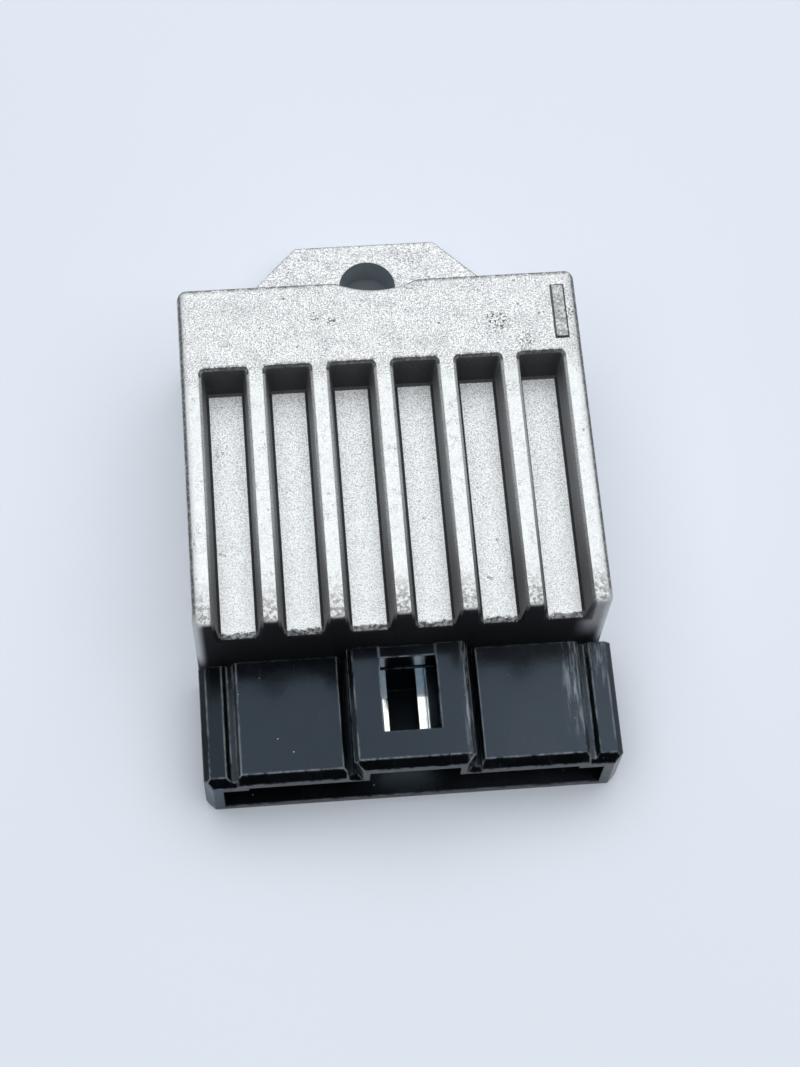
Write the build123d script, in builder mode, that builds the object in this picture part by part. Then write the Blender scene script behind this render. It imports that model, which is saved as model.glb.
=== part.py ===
from build123d import *
import os

# Voltage regulator rectifier: a finned die casting with a plug-in terminal housing at its front.
# Millimetres. The origin is the centre of the mounting hole on the base plane.
# +X is to the right, +Y points to the mounting tab, +Z is up through the fins.

# Casting, outside
body_width = 50.0
body_length = 45.0
body_height = 23.0
body_corner_radius = 1.2
front_edge_radius = 0.9
top_edge_radius = 0.45

# Fins and grooves
groove_count = 6
groove_pitch = 7.86
groove_width = 5.6
groove_depth = 5.15
groove_length = 33.6
groove_side_slope = 5.0
groove_end_slope = 10.0
groove_corner_radius = 0.45
groove_root_bevel = 0.3
groove_top_bevel = 0.3
floor_lip_radius = 0.5

# Mounting tab
tab_thickness = 4.6
tab_end_width = 18.8
tab_corner_radius = 0.8
hole_diameter = 7.5
hole_to_rear_wall = 9.4
hole_to_tab_end = 6.4
relief_radius = 10.7
relief_blend_radius = 2.5

# Raised index bar on the plain strip
bar_width = 1.6
bar_length = 7.4
bar_height = 0.25
bar_corner_radius = 0.5
bar_from_side = 1.6
bar_from_rear = 2.1

# Casting, inside
wall_thickness = 2.5
roof_thickness = 2.85
pocket_corner_radius = 1.5
mouth_height = 9.0

# Terminal housing, outside
connector_width = 51.0
connector_length = 15.4
housing_shift = 0.55
ridge_height = 9.4
ridge_bevel = 0.8
ridge_inner_bevel = 0.6
panel_height = 10.2
panel_width = 13.25
panel_bevel = 0.45
channel_width = 0.75
channel_depth = 0.5
latch_height = 12.9
latch_width = 14.7
latch_bevel = 0.6
front_chamfer = 1.1
base_edge_radius = 0.7

# Terminal housing, inside
shroud_wall = 2.3
shroud_roof = 2.2
shroud_floor = 1.0
side_cavity_width = 3.1
latch_cavity_width = 11.0
back_wall = 1.7
window_width = 6.9
window_front_bridge = 4.5
window_bar = 1.5
window_bar_drop = 0.3
window_ledge_drop = 1.9
key_rib_inset = 1.05
key_rib_width = 4.5
key_rib_gap = 0.6
plug_length = 6.0
plug_clearance = 0.1
plug_lift = 0.6

# Terminals
blade_count = 4
blade_width = 6.3
blade_thickness = 0.8
blade_pitch = 10.0
blade_reach = 9.0
blade_level = 4.6
blade_tip_chamfer = 0.9
blade_tip_bevel = 0.2
tail_width = 2.4
tail_length = 4.0
tail_shoulder = 1.2

# Circuit board
board_thickness = 1.6
board_front_gap = 0.5
board_side_gap = 1.5
board_rear_gap = 2.0
part_gap = 0.6
centre_row_count = 5
board_corner_radius = 1.0
lead_hole_clearance = 0.15
lead_hole_sides = 8
lead_stub = 1.0

# Thyristors, clamped flat against the pocket's roof over thin pads
pad_thickness = 0.3
pad_margin = 1.0
thyristor_width = 10.0
thyristor_plate_length = 12.0
thyristor_plate_thickness = 1.3
thyristor_plate_hole = 3.1
thyristor_hole_from_end = 2.3
thyristor_body_length = 7.5
thyristor_thickness = 4.5
thyristor_draft = 4.0
thyristor_lead_width = 0.8
thyristor_lead_thickness = 0.5
thyristor_lead_pitch = 2.54
thyristor_lead_drop = 2.6
thyristor_lead_run = 1.8
thyristor_lead_bend = 0.8
thyristor_lead_root = 1.0
thyristor_from_side = 8.0

# Small parts on the board: each lies across the board on two square leads that are bent down
stand_off = 0.3
lead_bend = 0.9
diode_length = 5.2
diode_diameter = 2.7
diode_lead = 0.7
diode_span = 9.0
rectifier_length = 9.2
rectifier_diameter = 5.2
rectifier_lead = 1.2
rectifier_span = 14.0
resistor_length = 6.3
resistor_diameter = 2.4
resistor_lead = 0.6
resistor_span = 10.0

# Standing parts on the board
capacitor_diameter = 5.0
capacitor_head_room = 2.5
capacitor_groove = 0.35
capacitor_groove_level = 1.6
capacitor_lead = 0.5
capacitor_lead_pitch = 2.0
transistor_diameter = 4.8
transistor_flat = 1.3
transistor_height = 4.7
transistor_leg = 2.0
transistor_lead = 0.45
transistor_lead_pitch = 1.27

# Potting
potting_recess = 0.6

# How far a cutting shape runs past a surface, and how close two places count as one
cut_spare = 2.0
same_place = 0.01

# Levels and places that follow
rear_wall_y = -hole_to_rear_wall
front_y = rear_wall_y - body_length
rim_y = front_y - connector_length
groove_floor_z = body_height - groove_depth
roof_z = groove_floor_z - roof_thickness
pocket_width = body_width - 2 * wall_thickness
pocket_rear_y = rear_wall_y - wall_thickness
pocket_front_y = front_y + wall_thickness
half_width = body_width / 2
board_top_z = blade_level - blade_thickness / 2
board_bottom_z = board_top_z - board_thickness
plug_rear_y = front_y + plug_length
board_front_y = plug_rear_y + board_front_gap
board_rear_y = pocket_rear_y - board_rear_gap
board_length = board_rear_y - board_front_y
board_width = pocket_width - 2 * board_side_gap
board_centre_y = (board_front_y + board_rear_y) / 2
connector_half = connector_width / 2
latch_half = latch_width / 2
panel_inner_x = latch_half + channel_width
panel_outer_x = panel_inner_x + panel_width
ridge_inner_x = panel_outer_x + channel_width
channel_z = ridge_height - channel_depth
cavity_depth = connector_length - back_wall
cavity_rear_y = rim_y + cavity_depth
blade_tip_y = cavity_rear_y - blade_reach
latch_roof_z = latch_height - shroud_roof
panel_roof_z = panel_height - shroud_roof
window_rear_y = front_y - window_bar
window_length = connector_length - window_front_bridge - window_bar
key_rib_bottom_z = blade_level + blade_thickness / 2 + key_rib_gap
lead_end_z = board_bottom_z - lead_stub
plate_top_z = roof_z - pad_thickness
tails_end_y = plug_rear_y + tail_shoulder + tail_length
gate_diode_y = tails_end_y + part_gap + diode_diameter / 2
gate_resistor_y = gate_diode_y + diode_diameter / 2 + part_gap + resistor_diameter / 2
thyristor_lead_y = gate_resistor_y + resistor_diameter / 2 + part_gap + thyristor_lead_thickness / 2
thyristor_lead_z = plate_top_z - thyristor_lead_drop
thyristor_front_y = thyristor_lead_y + thyristor_lead_run
side_column = board_width / 2 - thyristor_from_side
centre_row_pitch = (board_rear_y - tails_end_y) / centre_row_count
centre_rows_y = [tails_end_y + (row + 0.5) * centre_row_pitch for row in range(centre_row_count)]
capacitor_y, zener_y, rectifier_y, sense_resistor_y, transistor_y = centre_rows_y
capacitor_z = board_top_z + stand_off
capacitor_height = roof_z - capacitor_head_room - capacitor_z
transistor_z = board_top_z + transistor_leg

os.makedirs("parts", exist_ok=True)


def groove_cutter():
    """One groove as a solid: a tapered trough, open at the front, with a sloping far end."""
    side_run = groove_depth * tan_deg(groove_side_slope)
    end_run = groove_depth * tan_deg(groove_end_slope)
    top_z = body_height + cut_spare
    side_spare = cut_spare * tan_deg(groove_side_slope)
    end_spare = cut_spare * tan_deg(groove_end_slope)
    far_y = front_y + groove_length
    with BuildPart() as trough:
        with BuildSketch(Plane.XZ.offset(-far_y - cut_spare)):
            with BuildLine():
                Polyline(
                    (-groove_width / 2 - side_spare, top_z),
                    (-groove_width / 2 + side_run, groove_floor_z),
                    (groove_width / 2 - side_run, groove_floor_z),
                    (groove_width / 2 + side_spare, top_z),
                    close=True,
                )
            make_face()
        extrude(amount=groove_length + 2 * cut_spare)
        with BuildSketch(Plane.YZ):
            with BuildLine():
                Polyline(
                    (front_y - cut_spare, groove_floor_z),
                    (far_y - end_run, groove_floor_z),
                    (far_y + end_spare, top_z),
                    (front_y - cut_spare, top_z),
                    close=True,
                )
            make_face()
        extrude(amount=groove_width, both=True, mode=Mode.INTERSECT)
        far_face = trough.faces().sort_by(Axis.Y)[-1]
        corner_edges = far_face.edges().filter_by(lambda edge: abs(edge.tangent_at(0.5).Z) > 0.5)
        fillet(corner_edges, groove_corner_radius)
        floor_face = trough.faces().sort_by(Axis.Z)[0]
        root_edges = floor_face.edges().sort_by(Axis.Y)[1:]
        chamfer(root_edges, groove_root_bevel)
    return trough.part


def top_edges(block):
    """The edges of the block's top face, without those along its rounded front."""
    top_face = block.faces().filter_by(Axis.Z).sort_by(Axis.Z)[-1]
    return top_face.edges().filter_by(lambda edge: edge.center().Y > front_y + front_edge_radius + same_place)


def on_groove(edge):
    """True for an edge that lies within the rows of grooves, not on the outside of the block."""
    centre = edge.center()
    within_rows = abs(centre.X) < groove_pitch * groove_count / 2
    return within_rows and centre.Y < front_y + groove_length + same_place


def tan_deg(angle):
    """The tangent of an angle in degrees."""
    direction = Vector(1, 0).rotate(Axis.Z, angle)
    return direction.Y / direction.X


# Heat sink housing: the block, its tab, the grooves, the relief round the hole and the pocket below
groove = groove_cutter()
with BuildPart() as heat_sink_housing:
    with BuildSketch(Plane.YZ):
        with BuildLine():
            Polyline(
                (rear_wall_y, body_height),
                (rear_wall_y, 0),
                (front_y, 0),
                (front_y, body_height - front_edge_radius),
            )
            RadiusArc(
                (front_y, body_height - front_edge_radius),
                (front_y + front_edge_radius, body_height),
                front_edge_radius,
            )
            Line((front_y + front_edge_radius, body_height), (rear_wall_y, body_height))
        make_face()
    extrude(amount=half_width, both=True)
    fillet(heat_sink_housing.edges().filter_by(Axis.Z), body_corner_radius)
    with BuildSketch() as tab_outline:
        with BuildLine():
            Polyline(
                (-half_width, rear_wall_y - body_length / 2),
                (-half_width, rear_wall_y),
                (-tab_end_width / 2, hole_to_tab_end),
                (tab_end_width / 2, hole_to_tab_end),
                (half_width, rear_wall_y),
                (half_width, rear_wall_y - body_length / 2),
                close=True,
            )
        make_face()
        fillet(tab_outline.vertices().group_by(Axis.Y)[-1], tab_corner_radius)
    extrude(amount=tab_thickness)
    with Locations((0, 0, tab_thickness)):
        Cylinder(
            relief_radius,
            body_height,
            align=(Align.CENTER, Align.CENTER, Align.MIN),
            mode=Mode.SUBTRACT,
        )
    relief_edges = (
        heat_sink_housing.edges()
        .filter_by(Axis.Z)
        .filter_by(lambda edge: abs(edge.center().Y - rear_wall_y) < same_place)
        .filter_by(lambda edge: abs(edge.center().X) < relief_radius)
    )
    fillet(relief_edges, relief_blend_radius)
    Hole(hole_diameter / 2)
    with Locations(*[((i - (groove_count - 1) / 2) * groove_pitch, 0, 0) for i in range(groove_count)]):
        add(groove, mode=Mode.SUBTRACT)
    floor_lips = (
        heat_sink_housing.edges()
        .filter_by(lambda edge: abs(edge.center().Y - front_y) < same_place)
        .filter_by(lambda edge: abs(edge.center().Z - groove_floor_z) < groove_root_bevel)
    )
    fillet(floor_lips, floor_lip_radius)
    fillet(top_edges(heat_sink_housing).filter_by(lambda edge: not on_groove(edge)), top_edge_radius)
    chamfer(top_edges(heat_sink_housing).filter_by(on_groove), groove_top_bevel)
    with BuildSketch(Plane.XY.offset(body_height)):
        bar_x = half_width - bar_from_side - bar_width / 2
        with Locations((bar_x, rear_wall_y - bar_from_rear - bar_length / 2)):
            RectangleRounded(bar_width, bar_length, bar_corner_radius)
    extrude(amount=bar_height)
    with BuildSketch(Plane.XY) as pocket_outline:
        with Locations((0, (pocket_rear_y + pocket_front_y) / 2)):
            Rectangle(pocket_width, pocket_rear_y - pocket_front_y)
        fillet(pocket_outline.vertices(), pocket_corner_radius)
    extrude(amount=roof_z, mode=Mode.SUBTRACT)
    with BuildSketch(Plane.XZ.offset(-pocket_front_y - pocket_corner_radius)):
        with Locations((0, mouth_height / 2)):
            Rectangle(pocket_width, mouth_height)
    extrude(amount=wall_thickness + pocket_corner_radius, mode=Mode.SUBTRACT)
heat_sink_housing.part.label = "heat_sink_housing"
export_step(heat_sink_housing.part, "parts/heat_sink_housing.step")


def front_block(x_low, x_high, height, bevel, cut_sides):
    """A block of the terminal housing from the casting to the rim, its front edges cut back at 45 degrees."""
    with BuildPart() as block:
        with BuildSketch(Plane.XZ.offset(-front_y)):
            with Locations(((x_low + x_high) / 2, height / 2)):
                Rectangle(x_high - x_low, height)
        extrude(amount=connector_length)
        front_edges = block.faces().sort_by(Axis.Y)[0].edges()
        if cut_sides:
            chamfer(front_edges.filter_by(lambda edge: edge.center().Z > bevel), front_chamfer)
        else:
            chamfer(front_edges.sort_by(Axis.Z)[-1], front_chamfer)
        chamfer(block.edges().filter_by(Axis.Y).group_by(Axis.Z)[-1], bevel)
    return block.part


# Terminal housing: side ridges, two panels, the latch housing and a key rib beside its window, with the plug behind
wide_block = front_block(-connector_half, connector_half, ridge_height, ridge_bevel, cut_sides=True)
right_panel = front_block(panel_inner_x, panel_outer_x, panel_height, panel_bevel, cut_sides=False)
latch_block = front_block(-latch_half, latch_half, latch_height, latch_bevel, cut_sides=True)
with BuildPart() as housing:
    add(wide_block)
    fillet(housing.edges().filter_by(Axis.Y).group_by(Axis.Z)[0], base_edge_radius)
    for side in (-1, 1):
        with BuildSketch(Plane.XZ.offset(-front_y)):
            with BuildLine():
                Polyline(
                    (side * panel_outer_x, ridge_height),
                    (side * panel_outer_x, channel_z),
                    (side * ridge_inner_x, channel_z),
                    (side * (ridge_inner_x + ridge_inner_bevel), ridge_height),
                    close=True,
                )
            make_face()
            with Locations((side * (latch_half + channel_width / 2), ridge_height - channel_depth / 2)):
                Rectangle(channel_width, channel_depth)
        extrude(amount=connector_length, mode=Mode.SUBTRACT)
    add(right_panel)
    add(right_panel.mirror(Plane.YZ))
    add(latch_block)
    with BuildSketch(Plane.XZ.offset(-cavity_rear_y)):
        with BuildLine():
            Polyline(
                (0, shroud_floor),
                (connector_half - shroud_wall, shroud_floor),
                (connector_half - shroud_wall, ridge_height - shroud_roof),
                (connector_half - shroud_wall - side_cavity_width, ridge_height - shroud_roof),
                (connector_half - shroud_wall - side_cavity_width, panel_roof_z),
                (latch_cavity_width / 2, panel_roof_z),
                (latch_cavity_width / 2, latch_roof_z),
                (0, latch_roof_z),
            )
            mirror(about=Plane.YZ)
        make_face()
    extrude(amount=cavity_depth, mode=Mode.SUBTRACT)
    with BuildSketch(Plane.XY.offset(latch_height)):
        with Locations((0, window_rear_y - window_length / 2)):
            Rectangle(window_width, window_length)
    extrude(amount=-(shroud_roof + window_ledge_drop), mode=Mode.SUBTRACT)
    with BuildSketch(Plane.XY.offset(latch_height)):
        with Locations((0, front_y - window_bar / 2)):
            Rectangle(window_width, window_bar)
    extrude(amount=-window_bar_drop, mode=Mode.SUBTRACT)
    with BuildSketch(Plane.XZ.offset(-window_rear_y)):
        with Locations((window_width / 2 - key_rib_inset, key_rib_bottom_z)):
            Rectangle(key_rib_width, panel_roof_z - key_rib_bottom_z, align=(Align.MIN, Align.MIN))
    extrude(amount=window_length)
with BuildPart() as connector_shroud:
    with Locations((housing_shift, 0, 0)):
        add(housing.part)
    plug_top_z = mouth_height - plug_clearance
    with BuildSketch(Plane.XZ.offset(-front_y)):
        with Locations((0, (plug_lift + plug_top_z) / 2)):
            Rectangle(pocket_width - 2 * plug_clearance, plug_top_z - plug_lift)
    extrude(amount=-plug_length)
    with BuildSketch(Plane.XZ.offset(-plug_rear_y)):
        with GridLocations(blade_pitch, 1, blade_count, 1):
            with Locations((0, blade_level)):
                Rectangle(blade_width, blade_thickness)
    extrude(amount=plug_length + back_wall, mode=Mode.SUBTRACT)
connector_shroud.part.label = "connector_shroud"
export_step(connector_shroud.part, "parts/connector_shroud.step")


def terminal(centre_x):
    """One flat blade: a tapered tip, a full-width run through the plug and a narrow tail on the board."""
    shoulder_y = plug_rear_y + tail_shoulder
    with BuildPart() as blade:
        with BuildSketch(Plane.XY.offset(blade_level - blade_thickness / 2)) as outline:
            with Locations((centre_x, (blade_tip_y + shoulder_y) / 2)):
                Rectangle(blade_width, shoulder_y - blade_tip_y)
            chamfer(outline.vertices().group_by(Axis.Y)[0], blade_tip_chamfer)
            with Locations((centre_x, shoulder_y + tail_length / 2)):
                Rectangle(tail_width, tail_length)
        extrude(amount=blade_thickness)
        tip_face = blade.faces().sort_by(Axis.Y)[0]
        chamfer(tip_face.edges().filter_by(Axis.X), blade_tip_bevel)
    return blade.part


# Terminals, from left to right
terminal_names = ["terminal_charge_coil", "terminal_lighting_coil", "terminal_battery", "terminal_ground"]
terminals = []
for index, name in enumerate(terminal_names):
    piece = terminal((index - (blade_count - 1) / 2) * blade_pitch)
    piece.label = name
    export_step(piece, f"parts/{name}.step")
    terminals.append(piece)


def lying_part(name, centre_x, centre_y, length, diameter, lead, span):
    """A small round part that lies across the board on two bent leads."""
    centre_z = board_top_z + stand_off + diameter / 2
    with BuildPart() as component:
        with BuildSketch(Plane.XZ.offset(-centre_y)):
            with Locations((centre_x, centre_z)):
                Rectangle(length, diameter / 2, align=(Align.CENTER, Align.MIN))
        revolve(axis=Axis((centre_x, centre_y, centre_z), (1, 0, 0)))
        for side in (-1, 1):
            lead_x = centre_x + side * span / 2
            with BuildSketch(Plane.XZ.offset(-centre_y)):
                with BuildLine():
                    Polyline(
                        (centre_x + side * (length / 2 - lead), centre_z),
                        (lead_x - side * lead_bend, centre_z),
                        (lead_x, centre_z - lead_bend),
                        (lead_x, lead_end_z),
                    )
                trace(line_width=lead)
            extrude(amount=lead / 2, both=True)
            lead_places.append((lead_x, centre_y, lead))
    component.part.label = name
    return component.part


def thyristor(name, centre_x):
    """A flat power device: a drilled metal plate, a moulded body below it and three leads bent down."""
    body_top_z = plate_top_z - thyristor_plate_thickness
    with BuildPart() as device:
        with BuildSketch(Plane.XY.offset(body_top_z)):
            with Locations((centre_x, thyristor_front_y + thyristor_plate_length / 2)):
                Rectangle(thyristor_width, thyristor_plate_length)
            hole_y = thyristor_front_y + thyristor_plate_length - thyristor_hole_from_end
            with Locations((centre_x, hole_y)):
                Circle(thyristor_plate_hole / 2, mode=Mode.SUBTRACT)
        extrude(amount=thyristor_plate_thickness)
        with BuildSketch(Plane.XY.offset(body_top_z)):
            with Locations((centre_x, thyristor_front_y + thyristor_body_length / 2)):
                Rectangle(thyristor_width, thyristor_body_length)
        extrude(amount=-(thyristor_thickness - thyristor_plate_thickness), taper=thyristor_draft)
        for place in (-1, 0, 1):
            lead_x = centre_x + place * thyristor_lead_pitch
            with BuildSketch(Plane.YZ.offset(lead_x - thyristor_lead_width / 2)):
                with BuildLine():
                    Polyline(
                        (thyristor_front_y + thyristor_lead_root, thyristor_lead_z),
                        (thyristor_lead_y + thyristor_lead_bend, thyristor_lead_z),
                        (thyristor_lead_y, thyristor_lead_z - thyristor_lead_bend),
                        (thyristor_lead_y, lead_end_z),
                    )
                trace(line_width=thyristor_lead_thickness)
            extrude(amount=thyristor_lead_width)
            lead_places.append((lead_x, thyristor_lead_y, thyristor_lead_width))
    device.part.label = name
    return device.part


def thermal_pad(name, centre_x):
    """A thin insulating pad between a thyristor's plate and the roof of the pocket."""
    with BuildPart() as pad:
        with BuildSketch(Plane.XY.offset(plate_top_z)):
            with Locations((centre_x, thyristor_front_y + thyristor_plate_length / 2)):
                Rectangle(thyristor_width + 2 * pad_margin, thyristor_plate_length + 2 * pad_margin)
        extrude(amount=pad_thickness)
    pad.part.label = name
    return pad.part


# Parts on the board and under the roof. Each lead's place and size is kept for the holes in the board.
lead_places = []
inner_pieces = [
    thyristor("thyristor_charge", -side_column),
    thyristor("thyristor_lighting", side_column),
    thermal_pad("thermal_pad_charge", -side_column),
    thermal_pad("thermal_pad_lighting", side_column),
]
diode_sizes = (diode_length, diode_diameter, diode_lead, diode_span)
resistor_sizes = (resistor_length, resistor_diameter, resistor_lead, resistor_span)
rectifier_sizes = (rectifier_length, rectifier_diameter, rectifier_lead, rectifier_span)
for name, centre_x, centre_y, sizes in [
    ("gate_diode_charge", -side_column, gate_diode_y, diode_sizes),
    ("gate_diode_lighting", side_column, gate_diode_y, diode_sizes),
    ("gate_resistor_charge", -side_column, gate_resistor_y, resistor_sizes),
    ("gate_resistor_lighting", side_column, gate_resistor_y, resistor_sizes),
    ("voltage_zener", 0, zener_y, diode_sizes),
    ("rectifier_diode", 0, rectifier_y, rectifier_sizes),
    ("sense_resistor", 0, sense_resistor_y, resistor_sizes),
]:
    inner_pieces.append(lying_part(name, centre_x, centre_y, *sizes))

# Smoothing capacitor: a can with a rolled groove above its seal, standing on the board
with BuildPart() as smoothing_capacitor:
    with BuildSketch(Plane.XZ.offset(-capacitor_y)):
        with BuildLine():
            Polyline(
                (0, capacitor_z),
                (capacitor_diameter / 2, capacitor_z),
                (capacitor_diameter / 2, capacitor_z + capacitor_groove_level - capacitor_groove),
                (capacitor_diameter / 2 - capacitor_groove, capacitor_z + capacitor_groove_level),
                (capacitor_diameter / 2, capacitor_z + capacitor_groove_level + capacitor_groove),
                (capacitor_diameter / 2, capacitor_z + capacitor_height),
                (0, capacitor_z + capacitor_height),
                close=True,
            )
        make_face()
    revolve(axis=Axis((0, capacitor_y, 0), (0, 0, 1)))
    with BuildSketch(Plane.XY.offset(capacitor_z)):
        with Locations((0, capacitor_y)):
            with GridLocations(capacitor_lead_pitch, 1, 2, 1):
                Circle(capacitor_lead / 2)
    extrude(amount=lead_end_z - capacitor_z)
smoothing_capacitor.part.label = "smoothing_capacitor"
inner_pieces.append(smoothing_capacitor.part)
lead_places.extend((side * capacitor_lead_pitch / 2, capacitor_y, capacitor_lead) for side in (-1, 1))

# Sense transistor: a small moulded body with one flat side, standing on three legs
with BuildPart() as sense_transistor:
    with BuildSketch(Plane.XY.offset(transistor_z)):
        with Locations((0, transistor_y)):
            Circle(transistor_diameter / 2)
        with Locations((0, transistor_y - transistor_flat)):
            Rectangle(
                transistor_diameter,
                transistor_diameter,
                align=(Align.CENTER, Align.MAX),
                mode=Mode.SUBTRACT,
            )
    extrude(amount=transistor_height)
    with BuildSketch(Plane.XY.offset(transistor_z)):
        with Locations((0, transistor_y)):
            with GridLocations(transistor_lead_pitch, 1, 3, 1):
                Rectangle(transistor_lead, transistor_lead)
    extrude(amount=lead_end_z - transistor_z)
sense_transistor.part.label = "sense_transistor"
inner_pieces.append(sense_transistor.part)
lead_places.extend((place * transistor_lead_pitch, transistor_y, transistor_lead) for place in (-1, 0, 1))

for piece in inner_pieces:
    export_step(piece, f"parts/{piece.label}.step")

# Circuit board, drilled for every lead
with BuildPart() as circuit_board:
    with BuildSketch(Plane.XY.offset(board_bottom_z)):
        with Locations((0, board_centre_y)):
            RectangleRounded(board_width, board_length, board_corner_radius)
        for lead_x, lead_y, lead_size in lead_places:
            with Locations((lead_x, lead_y)):
                lead_reach = lead_size / 2**0.5
                RegularPolygon(
                    lead_reach + lead_hole_clearance,
                    lead_hole_sides,
                    major_radius=False,
                    mode=Mode.SUBTRACT,
                )
    extrude(amount=board_thickness)
circuit_board.part.label = "circuit_board"
export_step(circuit_board.part, "parts/circuit_board.step")

# Potting: fills the pocket behind and above the plug, round everything in it, and stops short of the base
with BuildPart() as board_blank:
    with BuildSketch(Plane.XY.offset(board_bottom_z)):
        with Locations((0, board_centre_y)):
            RectangleRounded(board_width, board_length, board_corner_radius)
    extrude(amount=board_thickness)
with BuildPart() as potting_compound:
    with BuildSketch(Plane.XY.offset(potting_recess)) as potting_outline:
        with Locations((0, (pocket_rear_y + plug_rear_y) / 2)):
            Rectangle(pocket_width, pocket_rear_y - plug_rear_y)
        fillet(potting_outline.vertices().group_by(Axis.Y)[-1], pocket_corner_radius)
    extrude(amount=roof_z - potting_recess)
    with BuildSketch(Plane.XY.offset(mouth_height)) as upper_outline:
        with Locations((0, (plug_rear_y + pocket_front_y) / 2)):
            Rectangle(pocket_width, plug_rear_y - pocket_front_y)
        fillet(upper_outline.vertices().group_by(Axis.Y)[0], pocket_corner_radius)
    extrude(amount=roof_z - mouth_height)
    add(board_blank.part, mode=Mode.SUBTRACT)
    for piece in terminals + inner_pieces:
        add(piece, mode=Mode.SUBTRACT)
potting_compound.part.label = "potting_compound"
export_step(potting_compound.part, "parts/potting_compound.step")
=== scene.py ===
"""Looks of the voltage regulator rectifier, laid out as an add-on and run as a script.

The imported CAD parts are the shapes. This file gives them their finishes, adds the skin of resin under the
casting, and sets up a pale floor, a soft light, the room's light and the camera.
"""

import bpy
import numpy as np
from bpy.props import FloatProperty, FloatVectorProperty, PointerProperty
from mathutils import Matrix, Vector


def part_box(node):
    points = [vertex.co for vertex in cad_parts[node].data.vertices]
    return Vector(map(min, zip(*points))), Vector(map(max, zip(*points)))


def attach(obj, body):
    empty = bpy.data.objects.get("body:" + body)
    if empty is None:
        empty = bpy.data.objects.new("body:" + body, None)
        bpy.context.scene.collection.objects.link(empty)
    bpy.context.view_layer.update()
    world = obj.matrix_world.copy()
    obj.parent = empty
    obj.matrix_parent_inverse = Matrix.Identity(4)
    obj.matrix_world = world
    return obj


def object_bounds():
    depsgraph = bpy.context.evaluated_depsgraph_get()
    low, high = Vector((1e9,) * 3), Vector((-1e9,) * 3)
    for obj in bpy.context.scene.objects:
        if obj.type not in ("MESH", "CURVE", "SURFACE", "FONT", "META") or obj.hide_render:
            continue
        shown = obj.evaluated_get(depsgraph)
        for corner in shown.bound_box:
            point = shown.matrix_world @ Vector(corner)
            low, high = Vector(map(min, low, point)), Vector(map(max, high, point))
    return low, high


bl_info = {
    "name": "Voltage regulator rectifier",
    "version": (1, 0, 0),
    "blender": (4, 5, 0),
    "location": "View3D > Sidebar > Rectifier",
    "description": "Finishes and studio for a finned voltage regulator with a plug-in socket",
    "category": "Object",
}

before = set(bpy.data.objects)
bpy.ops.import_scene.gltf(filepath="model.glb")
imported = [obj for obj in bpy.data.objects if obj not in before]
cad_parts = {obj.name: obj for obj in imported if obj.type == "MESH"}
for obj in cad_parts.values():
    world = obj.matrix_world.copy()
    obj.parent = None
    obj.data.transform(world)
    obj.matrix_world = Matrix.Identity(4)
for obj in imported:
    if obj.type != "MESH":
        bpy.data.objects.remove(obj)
CAD_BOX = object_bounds()
MM = 0.001
BODY = "root"

TERMINALS = ("terminal_charge_coil", "terminal_lighting_coil", "terminal_battery", "terminal_ground")
DIODES = ("gate_diode_charge", "gate_diode_lighting", "voltage_zener", "rectifier_diode")
RESISTORS = ("gate_resistor_charge", "gate_resistor_lighting", "sense_resistor")
THYRISTORS = ("thyristor_charge", "thyristor_lighting")
THERMAL_PADS = ("thermal_pad_charge", "thermal_pad_lighting")

# Places and sizes on the parts that the finishes follow, in millimetres. A groove's depth is from the top of
# the raised bar, a foot is above the board, and the resin's start is behind the potting's front.

BODY_LENGTH = 45.0
GROOVE_HALF_PITCH = 3.93
GROOVE_LENGTH = 33.6
GROOVE_DEPTH = 5.4
HOLE_EDGE = 4.4
BAR_CENTRE = (22.6, -15.2)
BAR_HALF_SIZE = (0.8, 3.7)
RIDGE_SCUFF = 24.1
RIDGE_SCUFF_START = -61.0
LATCH_SCUFF = 7.4
PANEL_LEVEL = 8.6
DIODE_LENGTH = 5.2
RECTIFIER_LENGTH = 9.2
RESISTOR_LENGTH = 6.3
THYRISTOR_PLATE = 1.3
THYRISTOR_DEPTH = 4.5
THYRISTOR_LENGTH = 12.0
CAPACITOR_FOOT = 0.3
TRANSISTOR_FOOT = 2.0
RESIN_START = 3.5

# Chips in the strip and at the fins' far ends: x, y and reach of each, in millimetres
CHIPS = (
    (-7.9, -14.2, 0.9),
    (-5.9, -14.9, 0.8),
    (14.6, -16.1, 1.9),
    (17.9, -19.0, 1.4),
    (15.4, -25.3, 1.8),
    (24.0, -15.4, 1.2),
)

# Half the width of a sharp border between two finishes, in millimetres
BORDER = 0.02

# Colours of wear, dirt, painted shade and painted light on the casting

WHITE = (1.0, 1.0, 1.0)
FLECK = (0.22, 0.22, 0.225)
PIT = (0.03, 0.03, 0.03)
FIN_TOP = (0.97, 0.97, 0.97)
# Painted shade at the far ends of the grooves' floors
FLOOR_REAR_SHADE = (0.42, 0.42, 0.42)
FLOOR_FRONT = (0.56, 0.56, 0.56)
BAR_MARK = (0.085, 0.087, 0.09)
# Painted shade at the front edge of the grooves' floors
LIP_SHADE = (0.045, 0.045, 0.047)
WALL_GRAIN = (0.10, 0.10, 0.103)
# Painted shade on the walls at the grooves' far ends
GROOVE_END_SHADE = (0.03, 0.029, 0.028)
# Painted shade on the grooves' side walls
GROOVE_SIDE_SHADE = (0.045, 0.045, 0.046)
# Painted shade in creases and on the rounded outer edges
CREASE_SHADE = (0.035, 0.036, 0.038)
# Painted light on the rounded front corners of the casting
FRONT_CORNER_LIGHT = (0.60, 0.605, 0.61)
# Painted shade on the casting's front face
FRONT_SHADE = (0.026, 0.027, 0.030)
# Painted shade along the casting's rounded upper edges
EDGE_SHADE = (0.075, 0.077, 0.08)
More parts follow.
